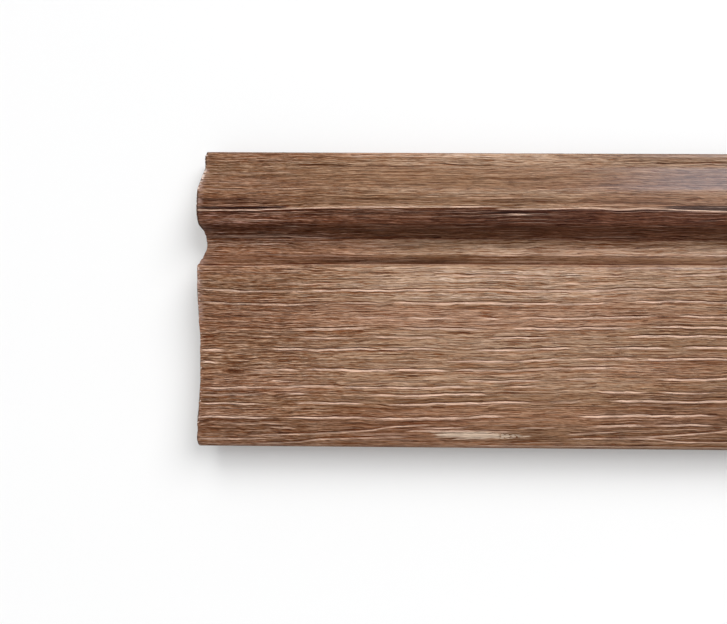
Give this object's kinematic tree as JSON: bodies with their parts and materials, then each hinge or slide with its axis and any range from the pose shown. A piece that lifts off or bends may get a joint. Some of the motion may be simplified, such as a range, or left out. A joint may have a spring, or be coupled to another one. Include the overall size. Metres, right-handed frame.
{
  "type": "skirting board length",
  "caption": "Length of moulded skirting board with a stepped and coved top, a broad face and a wood-grain film, lying on its back.",
  "frame": {"origin": "under the middle of the board's length and height, on the plane of its back", "axes": "+X along the length, +Y from the floor edge to the top edge, +Z from the back to the front"},
  "size_m": [2.4, 0.12, 0.016],
  "materials": {
    "grain_film": "embossed brown wood-grain film, satin"
  },
  "bodies": {
    "root": {"skirting_board": "grain_film"}
  },
  "joints": []
}
